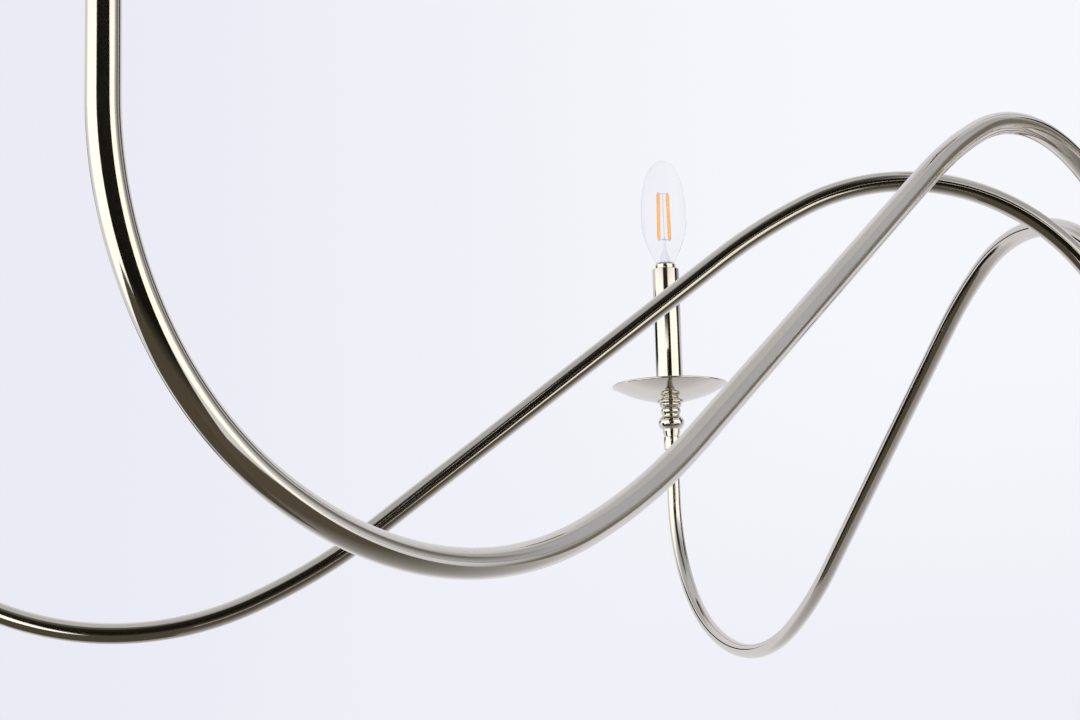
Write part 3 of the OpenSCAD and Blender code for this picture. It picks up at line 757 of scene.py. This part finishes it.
def soft_window(nodes, links, angle, middle, half, softness):
    """1 where an angle in degrees is within half of the middle, 0 outside, with a soft edge."""
    wrapped = nodes.new("ShaderNodeMath")
    wrapped.operation = "WRAP"
    offset = nodes.new("ShaderNodeMath")
    offset.operation = "SUBTRACT"
    links.new(angle, offset.inputs[0])
    offset.inputs[1].default_value = middle
    links.new(offset.outputs[0], wrapped.inputs[0])
    wrapped.inputs[1].default_value = 180
    wrapped.inputs[2].default_value = -180
    distance = nodes.new("ShaderNodeMath")
    distance.operation = "ABSOLUTE"
    links.new(wrapped.outputs[0], distance.inputs[0])
    ramp = nodes.new("ShaderNodeMapRange")
    ramp.interpolation_type = "SMOOTHSTEP"
    ramp.inputs["From Min"].default_value = half + softness
    ramp.inputs["From Max"].default_value = half - softness
    links.new(distance.outputs[0], ramp.inputs["Value"])
    return ramp.outputs["Result"]


def painted(nodes, links, azimuth, elevation, patches):
    """The colour of a list of patches, each laid over the ones before it within its two windows."""
    colour = None
    for patch in patches:
        mix = nodes.new("ShaderNodeMix")
        mix.data_type = "RGBA"
        mix.inputs["B"].default_value = (*patch["colour"], 1)
        if colour is None:
            mix.inputs["Factor"].default_value = 1.0
        else:
            links.new(colour, mix.inputs["A"])
            across = soft_window(nodes, links, azimuth, *patch["azimuth"])
            upward = soft_window(nodes, links, elevation, *patch["elevation"])
            links.new(combine(nodes, links, "MULTIPLY", across, upward), mix.inputs["Factor"])
        colour = mix.outputs["Result"]
    return colour


def make_world():
    """A backdrop that the camera sees, and a studio that lights the metal and shows in it."""
    world = bpy.data.worlds.new("studio")
    bpy.context.scene.world = world
    world.use_nodes = True
    nodes, links = world.node_tree.nodes, world.node_tree.links
    nodes.clear()
    direction = nodes.new("ShaderNodeTexCoord")
    split = nodes.new("ShaderNodeSeparateXYZ")
    links.new(direction.outputs["Generated"], split.inputs[0])

    def degrees(operation, *sources):
        """The angle that an inverse trigonometric operation gives, in degrees."""
        node = nodes.new("ShaderNodeMath")
        node.operation = operation
        for k, source in enumerate(sources):
            links.new(source, node.inputs[k])
        turned = nodes.new("ShaderNodeMath")
        turned.operation = "MULTIPLY"
        links.new(node.outputs[0], turned.inputs[0])
        turned.inputs[1].default_value = 180 / math.pi
        return turned.outputs[0]
    azimuth = degrees("ARCTAN2", split.outputs["X"], split.outputs["Y"])
    elevation = degrees("ARCSINE", split.outputs["Z"])
    shown = []
    for patches in (STUDIO, BACKDROP):
        background = nodes.new("ShaderNodeBackground")
        links.new(painted(nodes, links, azimuth, elevation, patches), background.inputs["Color"])
        shown.append(background.outputs[0])
    path = nodes.new("ShaderNodeLightPath")
    straight, through_glass = path.outputs["Is Camera Ray"], path.outputs["Is Transmission Ray"]
    choice = nodes.new("ShaderNodeMixShader")
    links.new(combine(nodes, links, "MAXIMUM", straight, through_glass), choice.inputs["Fac"])
    links.new(shown[0], choice.inputs[1])
    links.new(shown[1], choice.inputs[2])
    output = nodes.new("ShaderNodeOutputWorld")
    links.new(choice.outputs[0], output.inputs["Surface"])


ALL_ROUND = (0, 360, 1)
# Azimuth 0 is behind the chandelier and 90 to its right. Each window is (middle, half width, softness), in
# degrees. The first patch of a list covers everything.
# The photograph's wall: darker on the left and low down.
BACKDROP = [
    {"colour": (0.825, 0.825, 0.908)},
    {"colour": (0.925, 0.932, 0.972), "azimuth": (60, 61, 13), "elevation": ALL_ROUND},
    {"colour": (0.850, 0.855, 0.925), "azimuth": (60, 61, 13), "elevation": (-90, 94, 7)},
]
STUDIO = [
    # pale walls
    {"colour": (0.82, 0.83, 0.90)},
    # greyer upper walls, a lighter stretch of them on the left, and the ceiling
    {"colour": (0.46, 0.465, 0.48), "azimuth": (180, 122, 14), "elevation": (49, 16, 7)},
    {"colour": (0.52, 0.52, 0.54), "azimuth": (-100, 42, 10), "elevation": (50, 14, 7)},
    {"colour": (0.62, 0.62, 0.64), "azimuth": ALL_ROUND, "elevation": (90, 28, 8)},
    # a grey stretch of the right wall
    {"colour": (0.53, 0.55, 0.60), "azimuth": (88, 14, 5), "elevation": (32, 27, 6)},
    # a white panel on either side of the camera, the right one with a lower, dimmer part
    {"colour": (1.6, 1.58, 1.52), "azimuth": (-124, 50, 12), "elevation": (-4, 26, 6)},
    {"colour": (1.55, 1.5, 1.38), "azimuth": (137, 41, 5), "elevation": (4, 18, 4)},
    {"colour": (1.2, 1.15, 1.02), "azimuth": (147, 14, 4), "elevation": (-20, 14, 5)},
    # a dark strip and a grey spot on the right
    {"colour": (0.20, 0.185, 0.16), "azimuth": (74, 8, 5), "elevation": (5, 27, 6)},
    {"colour": (0.36, 0.34, 0.32), "azimuth": (50, 12, 6), "elevation": (18, 6, 4)},
    # the dark room behind the camera, high up and lower
    {"colour": (0.12, 0.115, 0.105), "azimuth": (-177, 22, 8), "elevation": (50, 14, 8)},
    {"colour": (0.025, 0.022, 0.018), "azimuth": (-172, 20, 5), "elevation": (26, 16, 4)},
]


def card_paper(name, axis, near, far, start, end):
    """A surface that shows its own colour in any light, going from near to far along a world axis."""
    material, nodes, links, shader = new_material(name, (0.0, 0.0, 0.0), 0.0, 0.9, Specular_IOR_Level=0.0)
    place = nodes.new("ShaderNodeNewGeometry")
    split = nodes.new("ShaderNodeSeparateXYZ")
    links.new(place.outputs["Position"], split.inputs[0])
    along = spread(nodes, links, split.outputs[axis], 0.0, 1.0, start, end)
    links.new(tone_between(nodes, links, along, near, far), shader.inputs["Emission Color"])
    shader.inputs["Emission Strength"].default_value = 1.0
    return material


DARK_CARD = card_paper("dark_card", "Z", (0.010, 0.009, 0.007), (0.09, 0.078, 0.055), -0.95, -1.35)
GROUND_CARD = card_paper("ground_card", "Y", (0.105, 0.090, 0.066), (0.84, 0.84, 0.89), -0.5, 2.2)


def make_card(name, corners, material):
    """A card round the chandelier, seen only in its reflections."""
    mesh = bpy.data.meshes.new(name)
    mesh.from_pydata(corners, [], [(0, 1, 2, 3)])
    card = bpy.data.objects.new(name, mesh)
    bpy.context.scene.collection.objects.link(card)
    mesh.materials.append(material)
    card.visible_camera = False
    card.visible_diffuse = False
    card.visible_transmission = False
    card.visible_shadow = False


# The upright dark cards, as (name, one end, other end, bottom, top) in metres.
UPRIGHT_CARDS = [
    ("card_wide", (-0.84, -1.12), (0.34, -1.12), -1.55, -0.25),
    ("card_tall", (-0.23, -1.25), (0.42, -1.25), -0.35, 0.10),
    ("card_left", (-1.6, 1.0), (-1.6, 2.4), -0.3, 0.0),
    ("card_low_left", (-1.0, 0.35), (-1.0, 0.76), -1.15, -0.6),
    ("card_right", (1.0, 0.45), (1.0, 0.9), -0.45, 0.3),
]


def make_cards():
    """Dark cards round the chandelier, and a ground that pales towards the wall with a dark sheet over its
    near left side.
    """
    for name, start, end, low, high in UPRIGHT_CARDS:
        make_card(name, [(*start, low), (*end, low), (*end, high), (*start, high)], DARK_CARD)
    left, right, near, far, ground = -3.0, 4.5, -1.6, 4.0, -2.05
    make_card("card_ground", [(left, near, ground), (right, near, ground), (right, far, ground),
                              (left, far, ground)], GROUND_CARD)
    # A dark sheet just above the ground over its near left side, darker than the ground there.
    dark_patch_height, near, right = ground + 0.05, -2.3, -0.45
    make_card("card_dark_patch", [(left, near, dark_patch_height), (right, near, dark_patch_height), (right, 0.25, dark_patch_height), (left, 1.35, dark_patch_height)],
              DARK_CARD)


def make_floor():
    """A pale floor well below the chandelier, with the backdrop's even colour and left out of reflections."""
    size, height = 60.0, -2.6
    corners = [(x * size, y * size, height) for x, y in ((-1, -1), (1, -1), (1, 1), (-1, 1))]
    mesh = bpy.data.meshes.new("floor")
    mesh.from_pydata(corners, [], [(0, 1, 2, 3)])
    floor = bpy.data.objects.new("floor", mesh)
    bpy.context.scene.collection.objects.link(floor)
    material, _, _, shader = new_material("floor_paint", (0.0, 0.0, 0.0), 0.0, 0.9, Specular_IOR_Level=0.0)
    shader.inputs["Emission Color"].default_value = (*BACKDROP[0]["colour"], 1)
    shader.inputs["Emission Strength"].default_value = 1.0
    mesh.materials.append(material)
    floor.visible_glossy = False


def make_overhead_light():
    """A large soft lamp over everything, left out of the reflections."""
    data = bpy.data.lights.new("overhead", "AREA")
    data.shape = "DISK"
    data.size = 6.0
    data.energy = 260.0
    lamp = bpy.data.objects.new("overhead", data)
    lamp.location = (0.0, 0.0, 3.0)
    lamp.visible_glossy = False
    lamp.visible_transmission = False
    lamp.visible_camera = False
    bpy.context.scene.collection.objects.link(lamp)


def make_camera():
    """The photograph's camera: a long lens below the candles, looking up a little."""
    place = Vector((-0.3259, -1.0665, -0.7487))
    yaw, pitch, roll = (math.radians(a) for a in (-0.938, 9.511, -1.622))
    data = bpy.data.cameras.new("camera")
    data.lens = 74.37
    data.sensor_width = 36.0
    data.clip_start, data.clip_end = 0.05, 100.0
    camera = bpy.data.objects.new("camera", data)
    bpy.context.scene.collection.objects.link(camera)
    camera.matrix_world = (
        Matrix.Translation(place)
        @ Matrix.Rotation(yaw, 4, "Z")
        @ Matrix.Rotation(math.pi / 2 + pitch, 4, "X")
        @ Matrix.Rotation(roll, 4, "Z")
    )
    bpy.context.scene.camera = camera


make_camera()
for arm_number in ARMS:
    make_arm(arm_number)
    make_candle(arm_number)
    make_bulb(arm_number)
make_hub()
make_rod()
make_canopy()
finish_kept_nodes()
make_world()
make_cards()
make_floor()
make_overhead_light()
bpy.context.scene.view_settings.view_transform = "Standard"
